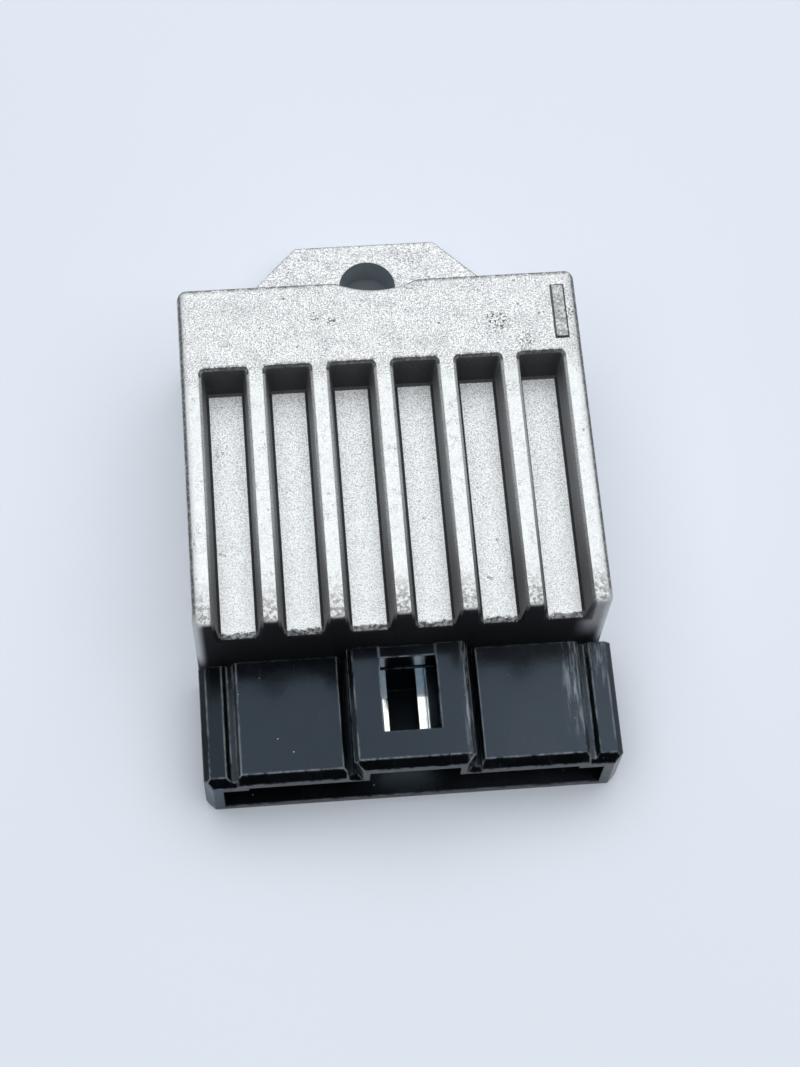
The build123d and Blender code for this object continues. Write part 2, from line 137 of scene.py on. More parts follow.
# Painted shade in the casting's hollows
HOLLOW_SHADE = (0.05, 0.05, 0.052)
BORE = (0.44, 0.48, 0.505)

# Colours of haze, wear, dust and painted shade on the moulding

HAZE = (0.0028, 0.0035, 0.0042)
# Painted shade in the socket's mouth
MOUTH_SHADE = (0.0004, 0.0005, 0.0006)
# Up-facing faces of the moulding grow lighter towards the right
LIGHTER_RIGHT = (0.024, 0.0275, 0.032)
SCRATCH = (0.024, 0.027, 0.031)
SPECK = (0.75, 0.77, 0.78)

# The photograph's camera: its place in metres, two of its axes, and its lens in pixels of the 800 by 1067
# frame with the sensor's width in millimetres

CAMERA_PLACE = (-0.016325, -0.147790, 0.268518)
CAMERA_RIGHT = (0.99622, -0.08016, 0.03348)
CAMERA_BACK = (-0.06216, -0.38852, 0.91934)
LENS_PIXELS = 2237.8
FRAME_PIXELS = 1067.0
SENSOR_WIDTH = 36.0

# Where the lamp hangs over the floor, in metres
LAMP_PLACE = (0.25, 0.40)


# Shader fields


class Field:
    """A shader socket that takes part in expressions: each operator adds one Math node to its tree."""

    def __init__(self, nodes, socket):
        self.nodes = nodes
        self.socket = socket

    def math(self, operation, *others):
        inputs = dict(enumerate((self, *others)))
        return self.nodes.field("ShaderNodeMath", {"operation": operation}, inputs)

    def __add__(self, other):
        return self.math("ADD", other)

    def __radd__(self, other):
        return self.math("ADD", other)

    def __sub__(self, other):
        return self.math("SUBTRACT", other)

    def __rsub__(self, other):
        return self.nodes.field("ShaderNodeMath", {"operation": "SUBTRACT"}, {0: other, 1: self})

    def __mul__(self, other):
        return self.math("MULTIPLY", other)

    def __rmul__(self, other):
        return self.math("MULTIPLY", other)

    def __pow__(self, other):
        return self.math("POWER", other)

    def __abs__(self):
        return self.math("ABSOLUTE")

    def maximum(self, other):
        return self.math("MAXIMUM", other)

    def rise(self, low, high):
        """0 below low, 1 above high and a smooth step between them. With low above high it falls instead."""
        settings = {"interpolation_type": "SMOOTHSTEP", "clamp": True}
        inputs = {"Value": self, "From Min": low, "From Max": high, "To Min": 0.0, "To Max": 1.0}
        if low > high:
            inputs.update({"From Min": high, "From Max": low, "To Min": 1.0, "To Max": 0.0})
        return self.nodes.field("ShaderNodeMapRange", settings, inputs)

    def bump_at(self, centre, half_width):
        """1 at centre, falling smoothly to 0 at half_width to either side."""
        return abs(self - centre).rise(half_width, 0.0)


class Nodes:
    """A node tree that is emptied and then filled by one method."""

    def __init__(self, tree):
        self.tree = tree
        tree.nodes.clear()

    def node(self, kind, settings=None, inputs=None):
        """Adds a node of a kind. Its settings come first, such as a ramp's interpolation and stops, and then
        the values or links of its sockets."""
        node = self.tree.nodes.new(kind)
        for name, value in (settings or {}).items():
            if name == "ramp":
                set_ramp(node.color_ramp, *value)
            else:
                setattr(node, name, value)
        for key, value in (inputs or {}).items():
            socket = node.inputs[key]
            if isinstance(value, Field):
                self.tree.links.new(value.socket, socket)
            elif isinstance(value, bpy.types.NodeSocket):
                self.tree.links.new(value, socket)
            else:
                socket.default_value = value
        return node

    def field(self, kind, settings=None, inputs=None, output=0):
        return Field(self, self.node(kind, settings, inputs).outputs[output])

    def parts(self, vector):
        """The X, Y and Z of a vector."""
        axes = self.node("ShaderNodeSeparateXYZ", {}, {0: vector})
        return [Field(self, axes.outputs[axis]) for axis in "XYZ"]


class Graph(Nodes):
    """One procedural material. Its fields are in millimetres of the object's own coordinates."""

    def __init__(self, name):
        self.material = bpy.data.materials.new(name)
        self.material.use_nodes = True
        super().__init__(self.material.node_tree)
        coordinates = self.node("ShaderNodeTexCoord")
        inputs = {0: coordinates.outputs["Object"], "Scale": 1 / MM}
        self.place = self.node("ShaderNodeVectorMath", {"operation": "SCALE"}, inputs).outputs["Vector"]
        self.x, self.y, self.z = self.parts(self.place)
        self.facing_y, self.facing_z = self.parts(coordinates.outputs["Normal"])[1:]

    def from_hole(self):
        """The distance in the plan from the middle of the mounting hole, which is the origin."""
        return (self.x * self.x + self.y * self.y) ** 0.5

    def near(self, x, y, reach):
        """1 at a place of the plan, falling smoothly to 0 at the reach round it."""
        return ((self.x - x) ** 2.0 + (self.y - y) ** 2.0).rise(reach * reach, 0.0)

    def noise(self, per_mm, detail=3.0, rough=0.55, stretch=None):
        """A cloud field around 0.5 with per_mm cells to the millimetre, times stretch along each axis."""
        place = self.place
        if stretch:
            scaled = self.node("ShaderNodeVectorMath", {"operation": "MULTIPLY"}, {0: place, 1: stretch})
            place = scaled.outputs["Vector"]
        inputs = {"Vector": place, "Scale": per_mm, "Detail": detail, "Roughness": rough}
        return self.field("ShaderNodeTexNoise", {}, inputs, "Fac")

    def spots(self, per_mm, reach):
        """Scattered round spots, per_mm to the millimetre: 1 in the middle and 0 past a reach in cells."""
        distance = self.field("ShaderNodeTexVoronoi", {}, {"Vector": self.place, "Scale": per_mm}, "Distance")
        return distance.rise(reach, reach * 0.4)

    def mix(self, factor, low, high):
        """low where factor is 0 and high where it is 1. A Mix node has its colours in sockets 6 and 7."""
        return self.field("ShaderNodeMix", {"data_type": "RGBA"}, {0: factor, 6: rgba(low), 7: rgba(high)}, 2)

    def bevel_normal(self, radius_mm):
        """The normal that the surface would have if its sharp edges were rounded by the radius."""
        return self.field("ShaderNodeBevel", {"samples": 4}, {"Radius": radius_mm * MM}, "Normal")

    def edge_wear(self, bevel):
        """0 on flat ground, rising to 1 on a sharp edge, where the rounded normal leaves the true one."""
        true_normal = self.node("ShaderNodeNewGeometry").outputs["True Normal"]
        inputs = {0: bevel, 1: true_normal}
        dot = self.field("ShaderNodeVectorMath", {"operation": "DOT_PRODUCT"}, inputs, "Value")
        return (1.0 - dot).rise(0.002, 0.035)

    def cavity(self, reach_mm):
        """1 in the open, falling towards 0 where near walls of the same piece close the view to the sky."""
        settings = {"samples": 6, "only_local": True}
        return self.field("ShaderNodeAmbientOcclusion", settings, {"Distance": reach_mm * MM}, "AO")

    def bump(self, height, depth_mm, strength=1.0, normal=None):
        """A bumped normal from a height field whose full swing is depth_mm."""
        inputs = {"Height": height, "Distance": depth_mm * MM, "Strength": strength}
        if normal is not None:
            inputs["Normal"] = normal
        return self.field("ShaderNodeBump", {}, inputs, "Normal")

    def surface(self, **sockets):
        """The finish itself. Socket names are written with underscores."""
        inputs = {name.replace("_", " "): rgba(value) for name, value in sockets.items()}
        shader = self.node("ShaderNodeBsdfPrincipled", {}, inputs)
        self.node("ShaderNodeOutputMaterial", {}, {"Surface": shader.outputs["BSDF"]})
        return self.material


def set_ramp(ramp, interpolation, stops):
    """Gives a colour ramp, which starts with two stops, a grey level at each of the places."""
    ramp.interpolation = interpolation
    while len(ramp.elements) < len(stops):
        ramp.elements.new(0.5)
    for element, (place, level) in zip(ramp.elements, stops.items()):
        element.position = place
        element.color = (level, level, level, 1.0)


def rgba(value):
    """A colour of three numbers gets its alpha, and anything else is passed through."""
    return (*value, 1.0) if hasattr(value, "__len__") and len(value) == 3 else value


def darker(colour, share):
    """The colour with each of its three parts multiplied by the share."""
    return tuple(part * share for part in colour)


# Pieces


def box_mm(node):
    """The low and the high corner of a CAD node's box, in millimetres."""
    return [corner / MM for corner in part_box(node)]


def dress(material, *nodes):
    """Gives the material to every slot of the named CAD nodes."""
    for name in nodes:
        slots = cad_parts[name].material_slots
        if not slots:
            raise RuntimeError(f"{name} has no material slot")
        for slot in slots:
            slot.material = material


def grid_faces(rows, columns):
    """Quads between neighbouring points of a grid that is stored row by row."""
    row = np.arange(rows - 1)[:, None]
    column = np.arange(columns - 1)[None, :]
    corner = (row * columns + column).ravel()
    return np.stack([corner, corner + 1, corner + columns + 1, corner + columns], axis=1)


def add_surface(name, points, faces, material):
    """A new object from an array of points in millimetres and an array of faces."""
    mesh = bpy.data.meshes.new(name)
    mesh.from_pydata((points.reshape(-1, 3) * MM).tolist(), [], faces.tolist())
    mesh.materials.append(material)
    surface = bpy.data.objects.new(name, mesh)
    bpy.context.collection.objects.link(surface)
    return surface


# Sizes and colours that a user would change


def colour_setting(name, description, default):
    """A colour that a user can change."""
    return FloatVectorProperty(name=name, description=description, subtype="COLOR", default=default)


class CastingSettings(bpy.types.PropertyGroup):
    light: colour_setting("Bright grain", "Colour of the metal where it is brightest", (0.98, 0.975, 0.965))
    dark: colour_setting("Dark grain", "Colour of the metal in the hollows of its grain", (0.26, 0.26, 0.26))
    wall: colour_setting("Wall skin", "Colour of the walls, which keep their cast skin", (0.86, 0.865, 0.87))
    # Painted shade: the colour the walls take deep in the grooves, where near walls hide the sky
    groove: colour_setting("Groove wall", "Colour of the walls deep in the grooves", (0.24, 0.243, 0.25))
    grime: colour_setting("Grime", "Colour of the dirt at the front ends of the fins", (0.17, 0.16, 0.145))
    grain: FloatProperty(
        name="Grain per millimetre", description="Cells of cast grain to the millimetre", default=6.4, min=0.5
    )


class MouldingSettings(bpy.types.PropertyGroup):
    colour: colour_setting("Moulding", "Colour of the black moulding", (0.0016, 0.0020, 0.0026))
    # Painted highlight: the colour of the light lines painted along the moulding's upward edges
    highlit: colour_setting("Rubbed edge", "Colour of the moulding's rubbed edges", (0.30, 0.325, 0.345))
    resin: colour_setting("Resin", "Colour of the potting resin", (0.020, 0.020, 0.023))


class ElectricsSettings(bpy.types.PropertyGroup):
    tin: colour_setting("Tin plate", "Colour of tinned metal", (0.80, 0.80, 0.78))
    board: colour_setting("Board", "Colour of the circuit board", (0.025, 0.16, 0.06))
    lacquer: colour_setting("Resistor lacquer", "Ground colour of the resistors", (0.52, 0.38, 0.21))
    epoxy: colour_setting("Component body", "Colour of moulded component bodies", (0.02, 0.02, 0.022))


class StudioSettings(bpy.types.PropertyGroup):
    floor: colour_setting("Floor", "Colour of the floor", (0.765, 0.79, 0.85))
    sky: colour_setting("Room", "Colour of the room's light and of the lamp", (0.93, 0.97, 1.0))
    lamp_power: FloatProperty(
        name="Lamp power", description="Power of the soft light", subtype="POWER", unit="POWER", default=21.5
    )
    lamp_size: FloatProperty(
        name="Lamp size", description="Side of the lamp", subtype="DISTANCE", unit="LENGTH", default=2.4
    )
    lamp_height: FloatProperty(
        name="Lamp height", description="Height of the lamp", subtype="DISTANCE", unit="LENGTH", default=1.2
    )


# The casting's finish


class CastingGraph(Graph):
    """The casting's material, with the places and fields that several parts of its finish share."""

    def __init__(self, settings):
        super().__init__("cast_aluminium")
        low, high = box_mm("heat_sink_housing")
        self.front = low.y
        self.rear = self.front + BODY_LENGTH
        self.groove_end = self.front + GROOVE_LENGTH
        self.side = high.x
        self.top = high.z
        self.floor = self.top - GROOVE_DEPTH
        self.grain = self.noise(settings.grain, 3.0, 0.72).rise(0.32, 0.57)
        self.flecks = self.noise(2.4, 3.0, 0.65).rise(0.58, 0.70)
        self.jagged = self.noise(1.9, 3.0, 0.7).rise(0.38, 0.54)
        self.open_sky = self.cavity(7.0)
        self.steep = abs(self.facing_z)
        # Each is 1 at the level of the grooves' floors: the first also below it, the second also above it
        self.below_fins = self.z.rise(self.floor + 1.0, self.floor + 0.6)
        self.above_floor = self.z.rise(self.floor - 1.0, self.floor)
        self.floor_band = self.below_fins * self.z.rise(self.floor - 1.0, self.floor - 0.6)
        self.groove_floor = self.floor_band * self.facing_z.rise(0.80, 0.95)
        # How far across the nearest fin's middle is, then 1 in front of the strip and 1 over the grooves alone
        self.from_fin = self.x.math("PINGPONG", GROOVE_HALF_PITCH)
        self.before_strip = self.y.rise(self.groove_end + 1.0, self.groove_end + 0.5)
        self.over_grooves = self.from_fin.rise(0.9, 1.2) * self.before_strip


def cast_aluminium(settings):
    """Blasted casting: bright and dark grain, pits, cast skin on the walls and grime on the fins' ends, with
    painted shade in its hollows and along its upper edges.
    """
    g = CastingGraph(settings)
    pits = casting_pits(g)
    dirt = fin_grime(g)
    wall = g.steep.rise(0.93, 0.72).maximum(g.floor_band * g.steep.rise(0.90, 0.75) * 0.5)
    colour = g.mix(wall, blasted_faces(g, settings, pits, dirt), cast_walls(g, settings))
    # Painted shade along the casting's upper edges, the grooves' far ends and the tab's rim
    colour = g.mix(painted_edge_shade(g) * 0.85, colour, EDGE_SHADE)
    # Painted shade: darker where near walls of the casting hide the sky
    hollow_shade = g.open_sky.rise(0.22, 0.08) * (1.0 - wall)
    colour = g.mix(hollow_shade * 0.6, colour, HOLLOW_SHADE)
    colour = g.mix(g.from_hole().rise(HOLE_EDGE, HOLE_EDGE - 0.4) * wall, colour, BORE)
    height = g.grain * 0.6 + g.noise(settings.grain * 0.4, 2.0) * 0.8
    height = height * (1.0 - g.groove_floor * 0.36) - pits * 2.0
    return g.surface(
        Base_Color=colour,
        Metallic=1.0 - dirt * 0.5,
        Roughness=0.46 + g.grain * 0.12 + wall * 0.12,
        Normal=g.bump(height, 0.040, 1.0, g.bevel_normal(0.18)),
    )


def casting_pits(g):
    """Small scattered pits that gather in patches, and the few larger chips."""
    patches = g.noise(0.12, 2.0).rise(0.48, 0.62) * 0.7 + 0.3
    pits = g.spots(1.0, 0.22) * patches * g.noise(0.4, 1.0).rise(0.50, 0.60)
    chipped = sum((g.near(*chip) for chip in CHIPS), start=0.0)
    return pits.maximum(chipped * g.noise(3.0, 2.0, 0.6).rise(0.55, 0.60))


def fin_grime(g):
    """Blotches of dirt on the fins' tops, close to their front ends."""
    tips = g.y.rise(g.front + 6.5, g.front + 0.6) * g.z.rise(g.top - 1.6, g.top - 0.4)
    return tips * (g.noise(1.7, 4.0, 0.7).rise(0.44, 0.58) * 0.85 + 0.15)


def blasted_faces(g, settings, pits, dirt):
    """What faces up: bright blasted grain, brightest on the fins, with pits, grime, the bar's wear marks and
    the smoother floors of the grooves, whose lighter ground is partly painted light, with painted shade
    towards their far ends and a ragged band of painted shade at their front edge."""
    patches = g.noise(0.35, 3.0).rise(0.25, 0.60)
    colour = g.mix(g.grain * 0.84 + patches * 0.16, settings.dark, settings.light)
    colour = g.mix(g.flecks * 0.30, colour, FLECK)
    colour = g.mix(pits * 0.95, colour, PIT)
    fins = g.y.rise(g.groove_end - 0.6, g.groove_end - 3.6) * g.z.rise(g.top - 1.0, g.top - 0.4)
    colour = g.mix(fins * g.noise(0.9, 3.0).rise(0.25, 0.50) * 0.7, colour, FIN_TOP)
    colour = g.mix(dirt * 0.8, colour, settings.grime)
    # The grooves' floors: painted shade darkens them towards their far ends, and their lighter ground is
    # partly painted light
    floor = g.mix(g.y.rise(g.front + 30.0, g.front + 6.0), FLOOR_REAR_SHADE, FLOOR_FRONT)
    colour = g.mix(g.groove_floor * 0.95, colour, g.mix(g.grain, floor, WHITE))
    colour = g.mix(bar_marks(g), colour, BAR_MARK)
    # Painted shade: a ragged dark band across each groove's floor just behind its front edge
    ragged = g.y + g.noise(1.5, 3.0, 0.7) * 1.4
    lip_shade = ragged.rise(g.front + 1.75, g.front + 1.45) * g.below_fins
    return g.mix(lip_shade * (g.noise(2.2, 3.0, 0.7).rise(0.40, 0.60) * 0.3 + 0.68), colour, LIP_SHADE)


def bar_marks(g):
    """The thin raised bar on the strip: a broken dark outline round it, and dark blotches on its face."""
    across = abs(g.x - BAR_CENTRE[0]) - BAR_HALF_SIZE[0]
    along = abs(g.y - BAR_CENTRE[1]) - BAR_HALF_SIZE[1]
    from_edge = across.maximum(along)
    outline = from_edge.bump_at(-0.02, 0.20).rise(0.1, 0.6) * g.noise(2.2, 3.0).rise(0.20, 0.42)
    face = from_edge.rise(0.0, -0.1) * g.noise(3.2, 3.0, 0.7).rise(0.42, 0.57)
    return (outline * 0.95).maximum(face * 0.6)


def cast_walls(g, settings):
    """What stands steep: cast skin with painted shade that darkens it down in the grooves, at their far ends
    and towards the front, painted shade in creases, and the casting's front in painted shade with painted
    light on its two corners."""
    # Painted shade: the walls darken where near walls hide the sky
    skin = g.mix(g.open_sky.rise(0.25, 0.9) ** 1.5, settings.groove, settings.wall)
    skin = g.mix((1.0 - g.grain) * 0.60 + g.flecks * 0.2, skin, WALL_GRAIN)
    # Painted shade on the walls facing the front at the grooves' far ends
    far_end_shade = g.facing_y.rise(-0.3, -0.8) * g.y.rise(g.front + 2.0, g.front + 3.0) * g.above_floor
    skin = g.mix(far_end_shade * 0.75, skin, GROOVE_END_SHADE)
    outer = abs(g.x).rise(g.side - 0.9, g.side - 0.5).maximum(g.y.rise(g.rear - 0.9, g.rear - 0.5))
    outer = outer.maximum(g.y.bump_at(g.groove_end, 1.0).rise(0.0, 0.3))
    # Painted shade on the grooves' side walls, strongest towards the front
    groove_side_shade = g.from_fin.rise(0.5, 0.9) * g.above_floor * (1.0 - outer) * g.before_strip
    skin = g.mix(groove_side_shade * (g.y.rise(g.front + 18.0, g.front + 1.0) * 0.62 + 0.12), skin, GROOVE_SIDE_SHADE)
    # Painted shade in the creases at the roots of the fins and on the rounded outer edges
    crease_shade = g.steep.bump_at(0.66, 0.30).rise(0.0, 0.55) * g.y.rise(g.front + 0.8, g.front + 1.2)
    crease_shade = crease_shade * (outer * (g.jagged * 0.4 + 0.5)).maximum(g.below_fins * g.over_grooves)
    skin = g.mix(crease_shade * 0.9, skin, CREASE_SHADE)
    # Painted light on the casting's two rounded front corners
    corner = abs(g.x).rise(g.side - 1.5, g.side - 0.4) * g.z.rise(8.0, 13.0)
    corner = corner * g.y.rise(g.front + 2.5, g.front + 1.0)
    skin = g.mix(corner * 0.8, skin, FRONT_CORNER_LIGHT)
    # Painted shade over the casting's front and the rounded tops of the fins' fronts, lighter on the right end
    # fin
    tilted = g.facing_y.rise(-0.10, -0.45) * g.z.rise(g.top - 1.2, g.top - 2.2)
    shaded = g.facing_y.rise(-0.50, -0.90).maximum(tilted)
    shaded = shaded * g.y.rise(g.front + 2.0, g.front + 1.5) * (1.0 - corner)
    right_fin = g.x.rise(g.side - 4.4, g.side - 2.0) * g.z.rise(11.0, 17.0)
    return g.mix(shaded * (1.0 - right_fin * 0.6), skin, FRONT_SHADE)


def painted_edge_shade(g):
    """Painted shade in ragged dark lines along the casting's rounded upper edges, the grooves' far ends and
    the tab's rim.
    """
    contour = abs(g.x).bump_at(g.side - 0.2, 0.5).maximum(g.y.bump_at(g.rear - 0.25, 0.55)) * 0.8
    far_end_shade = g.y.bump_at(g.groove_end + 0.15, 0.6) * g.facing_z.rise(0.5, 0.9) * g.over_grooves
    upper = contour.maximum(far_end_shade) * g.z.rise(g.top - 0.6, g.top - 0.25)
    upper = upper * g.y.rise(g.front + 1.0, g.front + 2.0) * g.jagged
    tab = g.edge_wear(g.bevel_normal(0.30)) * g.y.rise(g.rear + 0.1, g.rear + 0.3) * g.z.rise(2.5, 3.5)
    return upper.maximum(tab * g.from_hole().rise(HOLE_EDGE, HOLE_EDGE + 0.4) * (g.jagged * 0.4 + 0.6))


# The moulding's finish


def black_moulding(settings):
    """Half-gloss black moulding: faint flow haze, fine scratches, painted highlights along its edges, a few
    pale specks, top faces that grow lighter towards the right, and painted shade in its mouth. Metallic only
    takes the gloss off the mouth, the sloped fronts and the left ridge."""
    g = Graph("black_moulding")
    low, high = box_mm("connector_shroud")
    haze = g.noise(0.22, 4.0, 0.6).rise(0.38, 0.72)
    scratches = g.noise(0.9, 3.0, 0.6, (5.0, 0.22, 1.0)).rise(0.60, 0.78)
    specks = g.spots(0.70, 0.060) * g.noise(0.45, 0.0).rise(0.50, 0.56)
    # Painted highlights along the moulding's upward edges
    highlight_lines = edge_highlights(g)
    scuff = pale_scuffs(g, low, high)
    # Painted shade: the socket's mouth, where near walls hide the sky, goes near black
    inside_shade = g.cavity(14.0).rise(0.58, 0.34)
    outside = 1.0 - inside_shade
    colour = g.mix(haze * 0.5, settings.colour, HAZE)
    colour = g.mix(inside_shade, colour, MOUTH_SHADE)
    # Up-facing faces of the moulding grow lighter towards the right
    lighter_right = g.x.rise(-4.0, 21.0) * g.facing_z.rise(0.8, 0.95) * outside
    colour = g.mix(lighter_right * (haze * 0.3 + 0.7), colour, LIGHTER_RIGHT)
    colour = g.mix(scratches * outside * 0.45, colour, SCRATCH)
    colour = g.mix((highlight_lines * 0.9 + scuff * 0.9) * outside, colour, settings.highlit)
    colour = g.mix(specks, colour, SPECK)
    rough = 0.21 + haze * 0.10 + scratches * 0.10 + highlight_lines * 0.16 + scuff * 0.2
    rough = rough + inside_shade * (g.facing_z.rise(0.3, 0.7) * 0.62 - 0.12)
    slope = g.facing_y.rise(-0.3, -0.6) * g.facing_z.rise(0.3, 0.6)
    left_ridge = g.x.rise(low.x + 3.6, low.x + 3.2)
    dim = (inside_shade * 0.88).maximum(slope * 0.45).maximum(left_ridge * 0.35) * (1.0 - highlight_lines) * (1.0 - scuff)
    height = g.noise(0.8, 3.0) * 0.8 + g.noise(3.5, 2.0) * 0.12 - scratches * 0.15
    return g.surface(
        Base_Color=colour,
        Metallic=dim,
        Roughness=rough,
        Specular_IOR_Level=0.42,
        Specular_Tint=(0.62, 0.80, 1.0),
        Normal=g.bump(height, 0.020, 0.7, g.bevel_normal(0.22)),
    )


def edge_highlights(g):
    """Painted highlights along edges that face up, broken into streaks, and weaker where they face the
    casting.
    """
    rounded = g.bevel_normal(0.36)
    rear_edge = g.parts(rounded)[1].rise(0.05, 0.25)
    lit_edges = g.edge_wear(rounded) * g.facing_z.rise(0.1, 0.6) * (1.0 - rear_edge * 0.8)
    return lit_edges * g.noise(0.7, 4.0, 0.68, (1.0, 0.35, 1.0)).rise(0.34, 0.60)


def pale_scuffs(g, low, high):
    """Streaks along the right panel, the rear of the right ridge and the latch housing's right side."""
    panel = g.x.bump_at(0.405 * (high.x - low.x), 1.7) * g.y.rise(low.y + 2.6, low.y + 6.0)
    panel = panel * (1.0 - g.y.rise(high.y - 9.0, high.y - 5.0) * 0.6)
    ridge = g.x.bump_at(RIDGE_SCUFF, 1.7) * g.y.rise(RIDGE_SCUFF_START, RIDGE_SCUFF_START + 3.5)
    latch = g.x.bump_at(LATCH_SCUFF, 0.8) * 0.8
    streaks = g.noise(0.7, 4.0, 0.7, (2.6, 0.3, 1.0)).rise(0.44, 0.70) * g.facing_z.rise(0.2, 0.6)
    return panel.maximum(ridge).maximum(latch) * g.z.rise(PANEL_LEVEL, PANEL_LEVEL + 0.4) * streaks


# Finishes of the metal, the resin and the electronics


def tin_plate(settings):
    """Bright tin over brass: long rolling marks, cloudy roughness and duller handled patches."""
    g = Graph("tinned_brass")
    rolled = g.noise(1.2, 3.0, 0.6, (6.0, 0.25, 1.0)).rise(0.35, 0.68)
    clouds = g.noise(0.5, 4.0).rise(0.40, 0.70)
    colour = g.mix(clouds * 0.5 + rolled * 0.2, settings.tin, (0.55, 0.54, 0.50))
    return g.surface(
        Base_Color=colour,
        Metallic=1.0,
        Roughness=0.05 + clouds * 0.08 + rolled * 0.03,
        Normal=g.bump(rolled, 0.0015, 0.5, g.bevel_normal(0.10)),
    )


def potting_resin(name, settings):
    """Poured resin: smooth with slow swirls of filler and a scatter of small burst bubbles."""
    g = Graph(name)
    swirl = g.noise(0.16, 5.0, 0.65).rise(0.36, 0.66)
    bubbles = g.spots(0.42, 0.12) * g.noise(0.2, 1.0).rise(0.45, 0.6)
    colour = g.mix(swirl * 0.6, settings.resin, (0.045, 0.045, 0.05))
    colour = g.mix(bubbles * 0.6, colour, (0.006, 0.006, 0.007))
    return g.surface(
        Base_Color=colour,
        Roughness=0.30 + swirl * 0.12 + bubbles * 0.2,
        Normal=g.bump(swirl * 0.5 - bubbles, 0.12, 0.8),
    )


def board_laminate(settings):
    """Green solder resist over woven glass, with the weave just showing and darker copper areas under it."""
    g = Graph("board_laminate")
    weave = ((g.x * 7.0).math("SINE") * (g.y * 7.0).math("SINE")).rise(-0.8, 0.8)
    copper = g.noise(0.28, 0.0, 0.5).rise(0.49, 0.52)
    colour = g.mix(weave * 0.25, settings.board, (0.06, 0.27, 0.11))
    colour = g.mix(copper * 0.55, colour, (0.012, 0.085, 0.035))
    cut_edge = abs(g.facing_z).rise(0.5, 0.3)
    colour = g.mix(cut_edge, colour, (0.30, 0.30, 0.14))
    return g.surface(
        Base_Color=colour,
        Roughness=0.32 + weave * 0.10 + cut_edge * 0.3,
        Normal=g.bump(weave * 0.2 + copper, 0.03, 0.8),
    )


def lying_component(node, ground, bands, length, settings):
    """A round component across the board, with a body of the given length and tinned leads. Each band is its
    place from the middle along X, half its width and its colour."""
    g = Graph(node)
    low, high = box_mm(node)
    under_body = high.z - (high.y - low.y)
    across = g.x - (low.x + high.x) / 2
    lead = abs(across).rise(length / 2 - BORDER, length / 2 + BORDER)
    lead = lead.maximum(g.z.rise(under_body + BORDER, under_body - BORDER))
    blotch = g.noise(1.6, 3.0).rise(0.35, 0.70)
    colour = g.mix(blotch * 0.3, ground, darker(ground, 0.6))
    for place, half_width, paint in bands:
        band = across.bump_at(place, half_width).rise(0.15, 0.25)
        colour = g.mix(band, colour, paint)
    colour = g.mix(lead, colour, settings.tin)
    return g.surface(
        Base_Color=colour,
        Metallic=lead,
        Roughness=0.34 + blotch * 0.10 - lead * 0.08,
        Normal=g.bump(g.noise(3.0, 2.0), 0.01, 0.6, g.bevel_normal(0.15)),
    )


def standing_component(node, sleeve, mark, foot, settings):
    """A standing component: a sleeve with a stripe down its right side, and tinned leads below its foot."""
    g = Graph(node)
    low, high = box_mm(node)
    lead = g.z.rise(foot + BORDER, foot - BORDER)
    blotch = g.noise(1.2, 3.0).rise(0.35, 0.70)
    stripe = (g.x - (low.x + high.x) / 2).rise(1.35, 1.45) * abs(g.facing_z).rise(0.7, 0.5)
    colour = g.mix(blotch * 0.4, sleeve, darker(sleeve, 0.6))
    colour = g.mix(stripe * 0.9, colour, mark)
    colour = g.mix(lead, colour, settings.tin)
    return g.surface(
        Base_Color=colour,
        Metallic=lead,
        Roughness=0.36 + blotch * 0.12 - lead * 0.10,
        Normal=g.bump(g.noise(2.5, 2.0), 0.012, 0.6, g.bevel_normal(0.15)),
    )


def power_device(node, settings):
    """A thyristor: matt moulded body, brushed bright plate above it, and tinned leads in front of it."""
    g = Graph(node)
    rear_top = box_mm(node)[1]
    plate_bottom = rear_top.z - THYRISTOR_PLATE
    body_bottom = rear_top.z - THYRISTOR_DEPTH
    body_front = rear_top.y - THYRISTOR_LENGTH
    plate = g.z.rise(plate_bottom - BORDER, plate_bottom + BORDER)
    leads = g.y.rise(body_front + BORDER, body_front - BORDER)
    leads = leads.maximum(g.z.rise(body_bottom + BORDER, body_bottom - BORDER))
    metal = plate.maximum(leads)
    brushed = g.noise(1.5, 3.0, 0.6, (0.3, 5.0, 1.0)).rise(0.35, 0.68)
    matt = g.noise(4.0, 3.0).rise(0.35, 0.70)
    colour = g.mix(matt * 0.4, settings.epoxy, (0.05, 0.05, 0.055))
    colour = g.mix(metal, colour, g.mix(brushed * 0.4, settings.tin, (0.52, 0.52, 0.50)))
    return g.surface(
        Base_Color=colour,
        Metallic=metal,
        Roughness=0.52 + matt * 0.1 - metal * 0.24,
        Normal=g.bump(matt * (1.0 - metal) + brushed * 0.4, 0.015, 0.7, g.bevel_normal(0.15)),
    )


def thermal_rubber():
    """Filled silicone sheet: pale grey with the print of its glass carrier."""
    g = Graph("thermal_rubber")
    carrier = ((g.x * 9.0).math("SINE") * (g.y * 9.0).math("SINE")).rise(-0.6, 0.6)
    filler = g.noise(3.0, 3.0).rise(0.35, 0.70)
    colour = g.mix(filler * 0.5 + carrier * 0.2, (0.42, 0.44, 0.46), (0.30, 0.31, 0.33))
    return g.surface(Base_Color=colour, Roughness=0.62 + filler * 0.1, Normal=g.bump(carrier, 0.02, 0.7))


# Operators: one for each piece or group of like pieces, and one for the stage


class RECTIFIER_OT_casting(bpy.types.Operator):
    """Gives the heat sink housing its blasted casting finish."""

    bl_idname = "rectifier.casting"
    bl_label = "Finish casting"

    def execute(self, context):
        dress(cast_aluminium(context.scene.rectifier_casting), "heat_sink_housing")
        return {"FINISHED"}


class RECTIFIER_OT_socket(bpy.types.Operator):
    """Gives the plug-in socket its black moulding finish."""

    bl_idname = "rectifier.socket"
    bl_label = "Finish socket"

    def execute(self, context):
        dress(black_moulding(context.scene.rectifier_moulding), "connector_shroud")
        return {"FINISHED"}


